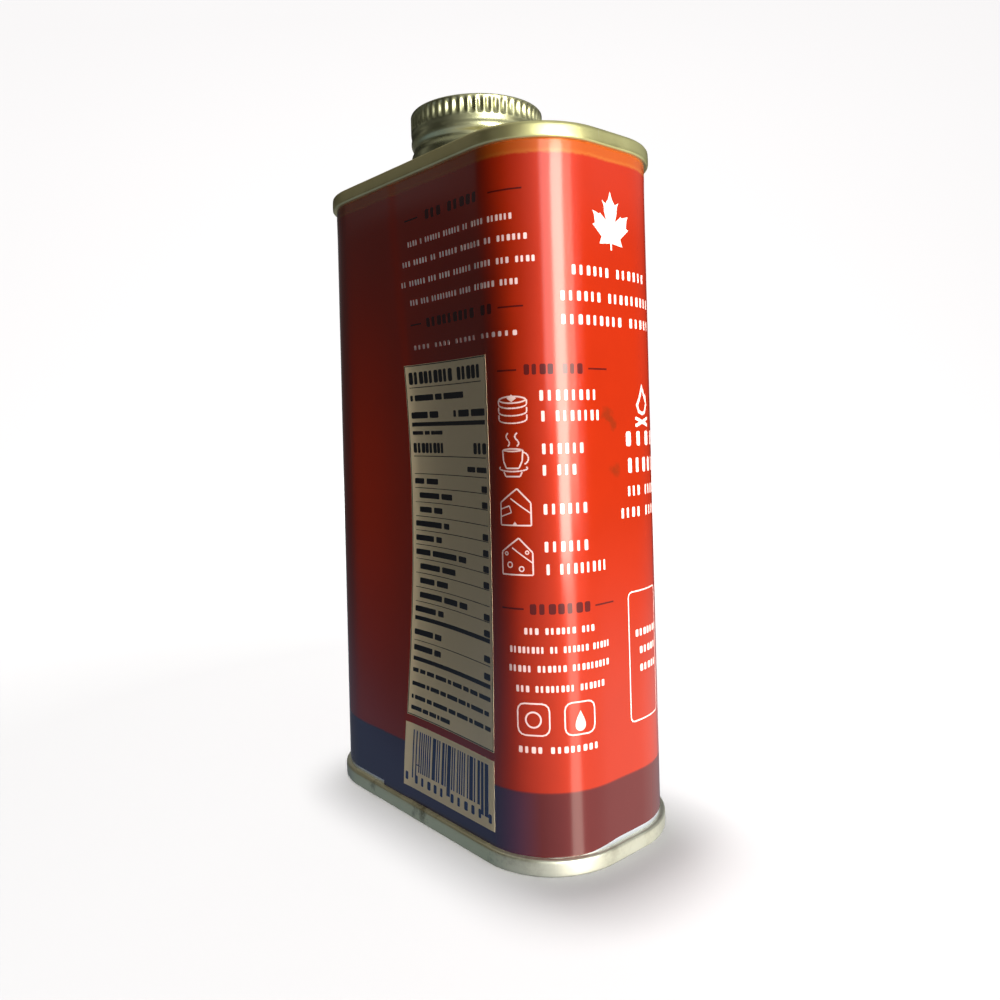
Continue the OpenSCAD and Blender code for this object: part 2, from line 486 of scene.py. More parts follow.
def metal(name, light, deep, rough, spread, bump, shine=0.94):
    """Tinplate in a light and a deep tone, which blotches mix."""
    material, tree, shader = new_material(name, Metallic=shine)
    wear = use_group(tree, HANDLED, Base=rough, Spread=spread)
    colour = blend_colours(tree, wear.outputs["Blotch"], deep, light)
    relief = add(tree, "Bump", {"Height": wear.outputs["Height"], "Strength": bump, "Distance": 0.00002})
    join(tree, shader, Base_Color=colour, Roughness=wear.outputs["Roughness"], Normal=relief.outputs[0])
    return material, tree, shader, colour


def worn_lacquer(name, light, deep, rough, wear_and_cool_sheen):
    """Gold lacquer with brown rubbed patches, fine upright scratches and a painted cool sheen towards the
    narrow sides.
    """
    material, tree, shader, colour = metal(name, light, deep, rough, 0.2, 0.5)
    place = add(tree, "TexCoord").outputs["Object"]
    patches = add(tree, "TexNoise", {"Vector": place, "Scale": 95.0, "Detail": 6.0, "Roughness": 0.72})
    bare = 0.68 - 0.15 * wear_and_cool_sheen
    mask = ramp(tree, patches.outputs["Fac"], [(0.0, 0.0), (bare, 0.0), (bare + 0.13, 0.8)])
    along = add(tree, "SeparateXYZ", {"Vector": place}).outputs["X"]
    along = maths(tree, "DIVIDE", maths(tree, "ABSOLUTE", along), HALF_W * MM)
    mask = maths(tree, "MULTIPLY", mask, ramp(tree, along, [(0.55, 1.0), (0.85, 0.3)]))
    # Towards the narrow sides the colour is painted cooler, and bluer on the bottom seam: a painted sheen of
    # the cool light on the lit side and a painted bluish reflection
    tint = ramp(tree, along, [(0.6, (1.0, 1.0, 1.0)), (0.9, (0.94, 1.04, 1.0 + 0.4 * wear_and_cool_sheen))])
    colour = blend_colours(tree, 1.0, colour, tint, "MULTIPLY")
    colour = blend_colours(tree, mask, colour, RUBBED_BROWN)
    hairs = stretched_noise(tree, place, (1500.0, 1500.0, 90.0), 3.0, 0.6)
    hairs = ramp(tree, hairs, [(0.0, 0.0), (0.66, 0.0), (0.72, 0.3 + 0.4 * wear_and_cool_sheen)])
    join(tree, shader, Base_Color=blend_colours(tree, hairs, colour, SCRATCHED))
    return material


RUBBED_BROWN, SCRATCHED = (0.16, 0.12, 0.05), (0.97, 0.96, 0.86)
GOLD = worn_lacquer("gold_lacquer", (0.90, 0.81, 0.42), (0.70, 0.60, 0.26), 0.27, 0.0)
CAP_GOLD = metal("cap_lacquer", (0.76, 0.76, 0.45), (0.48, 0.49, 0.26), 0.22, 0.14, 0.14, 0.97)[0]
WORN_GOLD = worn_lacquer("worn_gold_lacquer", (0.93, 0.86, 0.56), (0.74, 0.68, 0.38), 0.3, 1.0)
TINPLATE = metal("bright_tinplate", (0.86, 0.90, 0.97), (0.72, 0.75, 0.80), 0.3, 0.12, 0.5, 0.85)[0]

# %% [markdown]
# ## The tin wall
# The wall is one drawn shell filled with syrup. It starts as the rounded block, is sliced so
# that it can bend, and then its broad faces are drawn in by the hollow. Only the strip below
# the film shows, but the film lies on it everywhere.

# %% Tin wall
# The seam's height, the depth of the countersunk panel and the thickness of the plate
SEAM_H, COUNTERSINK, PLATE = 2.8, 3.6, 0.25
seam_low, seam_high = (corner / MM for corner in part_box("top_end"))
TIN_TOP = seam_high.z


def cap_face(bm, up):
    """The level face at the top or the bottom of a block."""
    return max(bm.faces, key=lambda f: up * f.calc_center_median().z + abs(f.normal.z) * 0.01)


def inset(bm, face, inwards, upwards=0.0):
    """Insets a level face and lifts it. The face stays in the middle."""
    bmesh.ops.inset_region(bm, faces=[face], thickness=inwards, use_even_offset=True)
    bmesh.ops.translate(bm, verts=face.verts, vec=(0, 0, upwards))
    return face


def push(bm, face, upwards):
    """Extrudes a level face straight up or down and gives the moved face."""
    moved = bmesh.ops.extrude_discrete_faces(bm, faces=[face])["faces"][0]
    bmesh.ops.translate(bm, verts=moved.verts, vec=(0, 0, upwards))
    return moved


def tin_wall():
    """The closed wall, with a pocket at each end for the sunk panel."""
    bm = oblong_block(SEAM_H, TIN_TOP - SEAM_H, -0.01)
    pocket = COUNTERSINK - SEAM_H + PLATE
    for up in (1, -1):
        push(bm, inset(bm, cap_face(bm, up), PLATE), -up * pocket)
    slice_up(bm, 2, steps(SEAM_H, TIN_TOP - SEAM_H, 2.0))
    slice_up(bm, 0, steps(-HOLLOW_REACH, HOLLOW_REACH, 1.5) + [-HOLLOW_REACH, HOLLOW_REACH])
    for vert in bm.verts:
        side = -1 if vert.co.y < 0 else 1
        if abs(vert.co.y) > 1:
            vert.co.y -= side * hollow(vert.co.x, vert.co.z)
    return make_piece("tin_wall", bm, TINPLATE, "can_body")


tin_wall()

# %% [markdown]
# ## The double-seamed ends
# A seam rolls the edge of the end panel and the edge of the wall into one tight rounded bead,
# and the panel sits sunk inside it. Each end starts as a slab of the tin's plan. Insets and
# pushes on its level faces trace the chuck wall, the groove and the raised panel, and bevels
# round the bead. A little low noise on the outer face keeps the reflections from running
# dead straight, as on real rolled tinplate.

# %% Ends
SEAM_OUT = seam_high.x - HALF_W
# The end panel from the chuck wall inwards, as inset and rise: a groove, a raised step and a dip
PANEL_STEPS = ((2.6, 0.0), (0.5, 0.35), (0.5, 0.15), (1.6, 0.0), (0.4, -0.12), (0.4, -0.08))


def outness(point):
    """How far a point of a level plane lies outside the wall's outline."""
    across = max(abs(point.x) - RUN_X, 0)
    along = max(abs(point.y) - RUN_Y, 0)
    return math.hypot(across, along) - CORNER


def round_loop(bm, z, out, radius, segments):
    """Bevels the loop of edges at one height and one distance outside the wall."""
    loop = [edge for edge in bm.edges
            if all(abs(v.co.z - z) < 0.01 and abs(outness(v.co) - out) < 0.02 for v in edge.verts)]
    bmesh.ops.bevel(bm, geom=loop, offset=radius, segments=segments, profile=0.5, affect="EDGES",
                    material=-1)


def seamed_end(name, node, top, material):
    """One end, made with its crown up and turned over for the bottom of the tin."""
    crown, ledge = TIN_TOP, TIN_TOP - SEAM_H
    bm = oblong_block(ledge, crown, SEAM_OUT)
    under = inset(bm, cap_face(bm, -1), SEAM_OUT + PLATE)
    push(bm, under, crown - COUNTERSINK - PLATE - ledge)
    panel = push(bm, inset(bm, cap_face(bm, 1), SEAM_OUT + 2 * PLATE), -COUNTERSINK)
    for inwards, upwards in PANEL_STEPS:
        panel = inset(bm, panel, inwards, upwards)
    round_loop(bm, crown - COUNTERSINK, -2 * PLATE, 0.45, 3)
    round_loop(bm, crown, SEAM_OUT, 0.7 if top else 0.5, 6)
    round_loop(bm, crown, -2 * PLATE, 0.5, 4)
    round_loop(bm, ledge, SEAM_OUT, 0.4, 4)
    slice_up(bm, 2, [ledge + rise for rise in (0.75, 1.1, 1.45, 1.8)])
    slice_up(bm, 0, steps(-RUN_X, RUN_X, 2.5))
    slice_up(bm, 1, steps(-RUN_Y, RUN_Y, 2.5))
    for vert in bm.verts:
        if outness(vert.co) > 0.3:
            dings = 0.035 * noise.noise(vert.co * 0.16) + 0.018 * noise.noise(vert.co * 0.7)
            belly = 0.05 * ((vert.co.z - ledge - 1.2) / 1.3) ** 2
            draw_in = dings + belly + (0.03 if top else 0.01)
            vert.co -= Vector((vert.co.x, vert.co.y * 2, 0)).normalized() * draw_in
    if not top:
        bmesh.ops.scale(bm, vec=(1, 1, -1), verts=bm.verts)
        bmesh.ops.translate(bm, verts=bm.verts, vec=(0, 0, crown))
        bmesh.ops.reverse_faces(bm, faces=bm.faces)
    return make_piece(name, bm, material, node, 50)


seamed_end("top_seamed_end", "top_end", True, GOLD)
seamed_end("bottom_seamed_end", "bottom_end", False, WORN_GOLD)

# %% [markdown]
# ## Neck and screw cap
# The cap is pressed from thin plate. Its upper band is fluted for grip by rows of lens-shaped
# grooves, and below it the skirt is rolled in twice over the thread. Its half section is spun
# about the cap's axis in eight steps for each flute, and the flutes are then pressed in.

# %% Neck and cap
cap_low, cap_high = (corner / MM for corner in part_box("screw_cap"))
neck_low, neck_high = (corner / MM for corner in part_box("neck"))
CAP_R = cap_high.x
FLUTES = 54
FLUTE_TOP, FLUTE_H, FLUTE_DEPTH = cap_high.z - 0.5, 3.0, 0.44
# The rolled grooves, as height above the cap's lower edge, reach and depth
GROOVES = ((5.5, 0.6, 0.14), (3.0, 0.85, 0.55))
SKIRT_T, GROOVE_D, THREAD_GAP = 0.9, 0.5, 0.3


def spin_profile(profile, count):
    """Spins a half section of radius and height about the upright axis into a closed solid."""
    bm = bmesh.new()
    verts = [bm.verts.new((r, 0, z)) for r, z in profile]
    for first, second in zip(verts, verts[1:]):
        bm.edges.new((first, second))
    bmesh.ops.spin(bm, geom=bm.verts[:] + bm.edges[:], cent=(0, 0, 0), axis=(0, 0, 1), angle=2 * math.pi,
                   steps=count, use_merge=True)
    bmesh.ops.remove_doubles(bm, verts=bm.verts, dist=1e-5)
    bmesh.ops.recalc_face_normals(bm, faces=bm.faces)
    return bm


def skirt_radius(z):
    """The cap's outer radius at a height above its lower edge, with its two rolled grooves."""
    dip = sum(depth * math.exp(-((z - at) / reach) ** 2) for at, reach, depth in GROOVES)
    curl = 0.25 * max(0.0, 1 - z / 0.5) ** 2
    return CAP_R - dip - curl


def screw_cap():
    """The cap, open below, with its rounded edge, slightly sunk top and pressed flutes."""
    height = cap_high.z - cap_low.z
    edge, bore, ceiling = 0.32, CAP_R - SKIRT_T - 0.6, height - 1.2
    outer = [(skirt_radius(z), z) for z in [0.0] + steps(0, height - edge, 0.24) + [height - edge]]
    turn = [math.radians(a) for a in (18, 36, 54, 72, 90)]
    outer += [(CAP_R - edge + edge * math.cos(a), height - edge + edge * math.sin(a)) for a in turn]
    lid = [(CAP_R - 1.1, height - 0.02), (CAP_R - 1.5, height - 0.12)]
    lid += [(6.0, height - 0.16), (0.0, height - 0.16)]
    inner = [(0.0, ceiling), (bore, ceiling), (bore, 0.0)]
    bm = spin_profile(inner + outer + lid, FLUTES * 8)
    bmesh.ops.translate(bm, verts=bm.verts, vec=(0, 0, cap_low.z))
    for vert in bm.verts:
        radius = math.hypot(vert.co.x, vert.co.y)
        rise = (FLUTE_TOP - vert.co.z) / FLUTE_H * 2 - 1
        if radius < CAP_R - 0.7 or abs(rise) >= 1:
            continue
        share = math.atan2(vert.co.y, vert.co.x) / (2 * math.pi) * FLUTES % 1 - 0.5
        press = FLUTE_DEPTH * (0.5 + 0.5 * math.cos(2 * math.pi * share)) * (1 - rise * rise) ** 0.7
        vert.co.xy *= (radius - press) / radius
    return make_piece("fluted_screw_cap", bm, CAP_GOLD, "screw_cap", 60)


def neck():
    """The neck, with a rounded foot on the panel and a bead below the cap."""
    foot, lip = neck_high.x, 0.7
    core = CAP_R - GROOVE_D - SKIRT_T - THREAD_GAP
    z0, z1 = neck_low.z, neck_high.z
    profile = [(0, z0), (foot, z0)]
    profile += [(foot - lip + lip * math.sin(a), z0 + lip - lip * math.cos(a)) for a in (1.2, 1.57, 2.2, 2.9)]
    profile += [(core + 0.5, z0 + 1.5), (core, z0 + 2.2), (core, z0 + 3.4), (core + 0.45, z0 + 3.9),
                (core, z0 + 4.4), (core, z1), (0, z1)]
    return make_piece("tin_neck", spin_profile(profile, 96), GOLD, "neck")


screw_cap()
neck()

# %% [markdown]
# ## The film sleeve
# One strip of printed film runs once round the tin and laps over its own start by six
# millimetres on the broad face. The outer end stands one film thickness proud, and the tucked
# end shows through as an upright crease. The strip is drawn flat, as a slab with the tape
# reading across and the height up, sliced where it has to bend, and then laid on the wall.

# %% Film
FILM = 0.12
FREE_EDGE, TUCKED_EDGE, LAP_SLOPE = -42.6, -36.6, 3.4
FOOT, FILM_TOP = film_low.z, film_high.z
# Tape readings at the middles of the four upright corners
BENDS = [0, BEND + 2 * RUN_Y, 2 * BEND + 2 * RUN_Y + 2 * RUN_X, -BEND - 2 * RUN_X, TAPE - BEND - 2 * RUN_X]


def ease(value, start, end):
    """Smooth step from 0 to 1 between two values."""
    share = min(1.0, max(0.0, (value - start) / (end - start)))
    return share * share * (3 - 2 * share)


def film_lift(tape, z):
    """How far the film's inner side stands off the wall, from the lap and from faint ripples."""
    lap = 1.1 * FILM * (1 - ease(tape, TUCKED_EDGE, TUCKED_EDGE + LAP_SLOPE))
    place = on_tin(tape, z, 0)
    ripple = noise.noise(place * 0.11) + 0.5 * noise.noise(place * 0.35)
    bend = min(abs(tape - corner) for corner in BENDS) < BEND / 2 + 1
    pucker = 0.035 * bend * ease(z, 111.5, 115.5) * (1 + noise.noise(Vector((tape * 1.1, z * 0.25, 7))))
    return lap + 0.02 + 0.012 * ripple + pucker


def on_film(tape, z, out):
    """The point at a tape reading and height, a distance outside the film's printed side."""
    return on_tin(tape, z, film_lift(tape, z) + FILM + out)


def film_foot(tape, z):
    """Moves the lowest part of the strip to follow the uneven lower edge."""
    foot = 2.87 + 0.7 * ease(tape, 4.5, 13.0) + 0.05 * noise.noise(Vector((tape * 0.4, 0, 0)))
    share = max(0.0, 1 - (z - FOOT) / 6)
    return z + (foot - FOOT) * share


def tape_columns():
    """Tape readings where the film is allowed to bend, close together round the corners and at the lap."""
    marks, at = [], -BEND / 2
    for number, length in enumerate(STATIONS):
        count = math.ceil(length / (1.5 if number % 2 else 0.75))
        marks += [at + length * i / count for i in range(count)]
        at += length
    marks = [mark - TAPE for mark in marks] + marks
    slope = [TUCKED_EDGE + LAP_SLOPE * i / 8 for i in range(9)]
    return slope + [mark for mark in marks if all(abs(mark - other) > 0.12 for other in slope)]


COLUMNS = tape_columns()


def film_sleeve(material):
    """The printed strip, drawn flat and then laid round the tin."""
    bm = bmesh.new()
    last = TAPE + TUCKED_EDGE
    size = Matrix.Diagonal((last - FREE_EDGE, FILM_TOP - FOOT, FILM - 0.01, 1))
    place = Matrix.Translation(((FREE_EDGE + last) / 2, (FOOT + FILM_TOP) / 2, -(FILM - 0.01) / 2))
    bmesh.ops.create_cube(bm, size=1, matrix=place @ size)
    slice_up(bm, 0, [c for c in COLUMNS if FREE_EDGE < c < last])
    slice_up(bm, 1, [FOOT + 0.4, FOOT + 1.2] + steps(FOOT + 2, FILM_TOP, 2.0))
    for vert in bm.verts:
        tape, z, out = vert.co
        z = film_foot(tape, z)
        vert.co = on_film(tape, z, out)
    return make_piece("printed_film_sleeve", bm, material, "label_film", 50)


# %% [markdown]
# ## Shared finish: glossy film
# The film is clear over its ink and pulled tight, so it has a sharp gloss with a slight orange
# peel, faint upright stretch lines and a few fingerprints. The same group goes into the film
# and every ink, so that reflections run across the print without a break.

# %% Film gloss group


def film_gloss_group():
    """Roughness, relief and faint blotches of film that is stretched over its ink."""
    group, given, result = new_group(
        "film_gloss", {"Base": 0.3, "Spread": 0.1}, ("Roughness", "Height", "Blotch"))
    place = add(group, "TexCoord").outputs["Object"]
    peel = add(group, "TexNoise", {"Vector": place, "Scale": 700.0, "Detail": 2.0})
    sag = add(group, "TexNoise", {"Vector": place, "Scale": 90.0, "Detail": 1.0})
    pulled = stretched_noise(group, place, (420.0, 420.0, 24.0), 2.0)
    touched = {"Vector": place, "Scale": 60.0, "Detail": 5.0, "Roughness": 0.65}
    touched = add(group, "TexNoise", touched).outputs["Fac"]
    rough = maths(group, "MULTIPLY_ADD", touched, given.outputs["Spread"], given.outputs["Base"])
    height = maths(group, "MULTIPLY_ADD", sag.outputs["Fac"], 2.2, peel.outputs["Fac"])
    height = maths(group, "MULTIPLY_ADD", pulled, 0.7, height)
    join(group, result, Roughness=rough, Height=height, Blotch=touched)
    return group


FILM_GLOSS = film_gloss_group()

# %% [markdown]
# ## Inks
# Red, orange and maroon inks are transparent over the bright metal, so they behave like tinted
# metal: deep in shade and glowing where a light strikes them. White, beige and the text inks
# are opaque and flat. Every ink lies under the same clear gloss, which is the coat.

# %% Inks
PEEL = 0.00001
# Colours of the inks, with the red and the orange also as they are near the head band's edge
# The navy is painted shade with a painted bluish reflection, for the foot band on the broad faces
MAROON, NAVY_PAINTED_SHADE = (0.083, 0.009, 0.0085), (0.05, 0.038, 0.088)
RED, RED_HIGH = (0.32, 0.017, 0.002), (0.31, 0.015, 0.002)
ORANGE, ORANGE_PALE = (0.33, 0.056, 0.005), (0.36, 0.08, 0.01)
SMUDGE = (0.12, 0.02, 0.004)
# Heights of the foot band's top and of the pale and full edges of the head band
BAND_EDGES = (12.9, 115.2, 115.7)
# Smudges as tape reading, height and reach
SMUDGES = [(12.6, 73.0, 1.5), (14.0, 71.5, 1.3), (14.3, 63.9, 1.4)]


def ink(name, colour=None, rough=0.5, metallic=0.0, mottle=0.06):
    """An ink under glossy film. The colour is given, or wired by the caller."""
    material, tree, shader = new_material(name, Metallic=metallic, Coat_Weight=1.0, Coat_Roughness=0.15,
                                          Coat_IOR=1.5, Specular_IOR_Level=0.0)
    gloss = use_group(tree, FILM_GLOSS, Base=rough, Spread=0.1)
    relief = add(tree, "Bump", {"Height": gloss.outputs["Height"], "Strength": 0.25, "Distance": PEEL})
    join(tree, shader, Roughness=gloss.outputs["Roughness"], Normal=relief.outputs[0])
    if colour:
        darker, lighter = (tuple(level * c for c in colour) for level in (1 - mottle, 1 + mottle))
        join(tree, shader, Base_Color=blend_colours(tree, gloss.outputs["Blotch"], darker, lighter))
    return material, tree, shader, gloss


def field_inks_and_painted_shade():
    """The film's inks by height: maroon foot, red field, orange head, and a painted navy shade on the broad
    faces.
    """
    material, tree, shader, gloss = ink("field_inks_and_painted_shade", None, 0.32, 0.3)
    place = add(tree, "TexCoord").outputs["Object"]
    axes = add(tree, "SeparateXYZ", {"Vector": place})
    wander = add(tree, "TexNoise", {"Vector": place, "Scale": 160.0})
    ragged = add(tree, "TexNoise", {"Vector": place, "Scale": 1300.0})
    # The head band's edge is ragged, and the foot band's sinks towards the far end of the face
    high = maths(tree, "GREATER_THAN", axes.outputs["Z"], 0.06)
    ragged = maths(tree, "MULTIPLY", maths(tree, "SUBTRACT", ragged.outputs["Fac"], 0.5), high)
    z = maths(tree, "MULTIPLY_ADD", wander.outputs["Fac"], 0.00012, axes.outputs["Z"])
    z = maths(tree, "MULTIPLY_ADD", ragged, 0.0005, z)
    across = maths(tree, "MULTIPLY_ADD", axes.outputs["X"], 0.5 / (HALF_W * MM), 0.5)
    drift = ramp(tree, across, [(0.03, 0.001), (0.24, 0.0)])
    drift = maths(tree, "MULTIPLY", drift, maths(tree, "SUBTRACT", 1.0, high))
    z = maths(tree, "DIVIDE", maths(tree, "SUBTRACT", z, drift), FILM_TOP * MM)
    foot, pale, full = ((height + 0.06) / FILM_TOP for height in BAND_EDGES)
    thin = 0.0006
    colour = ramp(tree, z, [
        (0.0, MAROON), (foot - thin, MAROON), (foot + thin, RED), (0.5, RED), (pale - thin, RED_HIGH),
        (pale + thin, ORANGE_PALE), (full - thin, ORANGE_PALE), (full + thin, ORANGE), (1.0, ORANGE)])
    # The foot band turns from maroon on the sides to navy on the broad faces, which is painted shade with a
    # painted bluish reflection
    broad_painted_shade = maths(tree, "DIVIDE", maths(tree, "ABSOLUTE", axes.outputs["X"]), HALF_W * MM)
    broad_painted_shade = ramp(tree, broad_painted_shade, [(0.62, NAVY_PAINTED_SHADE), (0.86, MAROON)])
    below = ramp(tree, z, [(foot - thin, 1.0), (foot + thin, 0.0)])
    colour = blend_colours(tree, below, colour, broad_painted_shade)
    grime = add(tree, "TexNoise", {"Vector": place, "Scale": 900.0, "Detail": 3.0})
    grime = maths(tree, "MULTIPLY_ADD", grime.outputs["Fac"], 1.6, -0.8)
    for tape, height, reach in SMUDGES:
        away = add(tree, "VectorMath", {0: place, 1: on_tin(tape, height, FILM) * MM}, operation="DISTANCE")
        away = maths(tree, "DIVIDE", away.outputs["Value"], reach * MM)
        smear = ramp(tree, maths(tree, "ADD", away, grime), [(0.3, 0.5), (1.0, 0.0)])
        colour = blend_colours(tree, smear, colour, SMUDGE)
    mottle = ramp(tree, gloss.outputs["Blotch"], [(0.25, 0.9), (0.75, 1.0)])
    join(tree, shader, Base_Color=blend_colours(tree, 1.0, colour, mottle, "MULTIPLY"))
    return material


FIELDS = field_inks_and_painted_shade()
WHITE_INK = ink("white_ink", (0.62, 0.42, 0.37), 0.45)[0]
DARK_INK = ink("dark_ink", (0.06, 0.004, 0.003), 0.4)[0]
PANEL_INK = ink("panel_ink", (0.84, 0.67, 0.40))[0]
TEXT_INK = ink("text_ink", (0.008, 0.008, 0.01))[0]
NAVY_INK = ink("navy_ink", (0.02, 0.035, 0.10))[0]
film_sleeve(FIELDS)

# %% [markdown]
# ## Printing helpers
# Print is drawn flat as bars, rings, strokes and cut shapes, with the tape reading across and
# the height up. Rows of words are shown as short dashes, which keep the rhythm of a line of
# type and say nothing. A finished drawing is cut where the film bends, given a thin thickness
# and laid on the film.

# %% Printing helpers
INK = 0.012


def flat_bar(bm, s0, s1, z0, z1, turn=0.0, corner=0.0):
    """A flat bar between two tape readings and two heights."""
    place = Matrix.Translation(((s0 + s1) / 2, (z0 + z1) / 2, 0)) @ Matrix.Rotation(turn, 4, "Z")
    place = place @ Matrix.Diagonal((s1 - s0, z1 - z0, 1, 1))
    verts = bmesh.ops.create_grid(bm, x_segments=1, y_segments=1, size=0.5, matrix=place)["verts"]
    if corner:
        bmesh.ops.bevel(bm, geom=verts, offset=corner, segments=3, profile=0.5, affect="VERTICES",
                        material=-1)


def rule(bm, s0, s1, z, thick):
    """A plain level line, given by its middle height."""
    flat_bar(bm, s0, s1, z - thick / 2, z + thick / 2)


def stroke(bm, start, end, width):
    """A straight pen stroke between two points."""
    start, end = Vector(start), Vector(end)
    middle, run = (start + end) / 2, end - start
    reach = run.length / 2
    flat_bar(bm, middle.x - reach, middle.x + reach, middle.y - width / 2, middle.y + width / 2,
             math.atan2(run.y, run.x), width * 0.45)


def pen(bm, width, *points):
    """Strokes from point to point."""
    for start, end in zip(points, points[1:]):
        stroke(bm, start, end, width)


def cut_shape(bm, points, width=0.0):
    """A filled flat shape from its corner points, or only its outline of a given width."""
    face = bm.faces.new([bm.verts.new((x, y, 0)) for x, y in points])
    face.normal_update()
    if face.normal.z < 0:
        bmesh.ops.reverse_faces(bm, faces=[face])
    if width:
        bmesh.ops.inset_region(bm, faces=[face], thickness=width, use_even_offset=True, use_boundary=True)
        bmesh.ops.delete(bm, geom=[face], context="FACES")
    else:
        bmesh.ops.triangulate(bm, faces=[face])


def framed(bm, s0, s1, z0, z1, corner, width):
    """The outline of a rounded box."""
    older = set(bm.faces)
    flat_bar(bm, s0, s1, z0, z1, 0, corner)
    inner = [face for face in bm.faces if face not in older]
    bmesh.ops.inset_region(bm, faces=inner, thickness=width, use_even_offset=True, use_boundary=True)
    bmesh.ops.delete(bm, geom=inner, context="FACES")


def ring(bm, s, z, radius, width, squash=1.0, first=0.0, last=360.0, count=28):
    """A flat ring, or part of one drawn with the pen."""
    turns = [math.radians(first + (last - first) * i / count) for i in range(count + 1)]
    points = [(s + radius * math.cos(a), z + radius * squash * math.sin(a)) for a in turns]
    if last - first >= 360:
        cut_shape(bm, points[:-1], width)
    else:
        pen(bm, width, *points)


def dashes(bm, s0, s1, z, height, words, fill=0.64):
    """A row of dashes in groups. Each digit of words is how many dashes one group has."""
    counts = [int(digit) for digit in words]
    pitch = (s1 - s0) / (sum(counts) + 0.9 * (len(counts) - 1) - (1 - fill))
    at = s0
    for count in counts:
        for place in range(count):
            wide = fill * pitch * (1.0, 0.8, 1.12)[place % 3]
            flat_bar(bm, at, at + wide, z - height / 2, z + height / 2, 0, 0.3 * min(wide, height))
            at += pitch
        at += 0.9 * pitch


def rows(bm, table, height, fill=0.64):
    """Rows of dashes from a table of two ends, a height on the tin and words."""
    for s0, s1, z, words in table:
        dashes(bm, s0, s1, z, height, words, fill)


def bars(bm, s0, s1, z, height, words):
    """A row of whole bars, one for each word."""
    counts = [int(digit) for digit in words]
    pitch = (s1 - s0) / (sum(counts) + 0.8 * (len(counts) - 1))
    at = s0
    for count in counts:
        flat_bar(bm, at, at + count * pitch, z - height / 2, z + height / 2, 0, 0.2 * height)
        at += (count + 0.8) * pitch


def print_on_film(name, bm, material, lift=0.0):
    """Lays a flat drawing on the film as a thin closed solid."""
    for axis, places in ((0, COLUMNS), (1, steps(0, FILM_TOP, 4.0))):
        low, high = min(v.co[axis] for v in bm.verts), max(v.co[axis] for v in bm.verts)
        slice_up(bm, axis, [place for place in places if low < place < high])
    grown = bmesh.ops.extrude_face_region(bm, geom=bm.faces[:], use_keep_orig=True)["geom"]
    raised = [item for item in grown if isinstance(item, bmesh.types.BMVert)]
    bmesh.ops.translate(bm, verts=raised, vec=(0, 0, INK * 1.5))
    bmesh.ops.recalc_face_normals(bm, faces=bm.faces)
    for vert in bm.verts:
        vert.co = on_film(vert.co.x, vert.co.y, vert.co.z - INK * 0.5 + lift)
    return make_piece(name, bm, material, None, 50)


# %% [markdown]
# ## Print on the near faces
# The broad face has a story block under a ruled heading, a facts panel and a striped code
# panel. The corner column has four line icons with their rows, then a ruled heading, rows and
# two framed rings. The narrow side has a leaf over three rows, and the next corner a flame and
# a tall outline.

# %% White print, near faces


def placed(s, z, size, points):
    """The points of a small drawing, scaled and put at a tape reading and a height."""
    return [(s + x * size, z + y * size) for x, y in points]


def leaf_points(s, z, size):
    """A five-lobed leaf of about the given height, as corner points round its outline."""
    half = [(0.0, 0.5), (0.05, 0.363), (0.116, 0.279), (0.207, 0.33), (0.166, 0.25), (0.157, 0.146),
            (0.113, -0.006), (0.262, 0.105), (0.29, 0.083), (0.447, 0.127), (0.409, 0.053), (0.392, -0.08),
            (0.449, -0.11), (0.236, -0.287), (0.289, -0.417), (0.018, -0.385), (0.017, -0.5)]
    return placed(s, z, size, half + [(-x, y) for x, y in half[:0:-1]])


def drop_points(s, z, size):
    """A drop with its point up."""
    turns = [math.radians(a) for a in range(0, 360, 15)]
    outline = [(math.sin(a) * math.sin(a / 2) ** 1.4, 1.32 * math.cos(a)) for a in turns]
    return placed(s, z, size, outline)


def cup(bm, s, z, size, width):
    """A cup with a handle on a saucer, under two curls of steam."""
    ring(bm, s, z + 0.26 * size, 0.25 * size, width, 0.18, 0, 360, 16)
    side = [(-0.25, 0.26), (-0.23, 0.02), (-0.155, -0.14)]
    pen(bm, width, *placed(s, z, size, side + [(-x, y) for x, y in side[::-1]]))
    ring(bm, s + 0.25 * size, z + 0.078 * size, 0.12 * size, width, 1.1, -75, 90, 7)
    ring(bm, s, z - 0.14 * size, 0.35 * size, width, 0.2, 155, 385, 16)
    pen(bm, width, *placed(s, z, size, [(-0.225, -0.22), (-0.175, -0.32), (0.175, -0.32), (0.225, -0.22)]))
    for aside in (-0.1, 0.12):
        steam = [(aside + 0.05 * math.sin(i * 1.3), 0.34 + 0.06 * i) for i in range(6)]
        pen(bm, width, *placed(s, z, size, steam))


def stack(bm, s, z, size, width):
    """Three round flat cakes in a pile with a pat on top."""
    for low in (-0.36, -0.16, 0.04):
        ring(bm, s, z + low * size, 0.42 * size, width, 0.26, 180, 360, 10)
        for side in (-0.42, 0.42):
            pen(bm, width, *placed(s, z, size, [(side, low), (side, low + 0.12)]))
    ring(bm, s, z + 0.16 * size, 0.42 * size, width, 0.26)
    cut_shape(bm, placed(s, z, size, [(-0.14, 0.2), (0, 0.1), (0.14, 0.2), (0, 0.3)]))


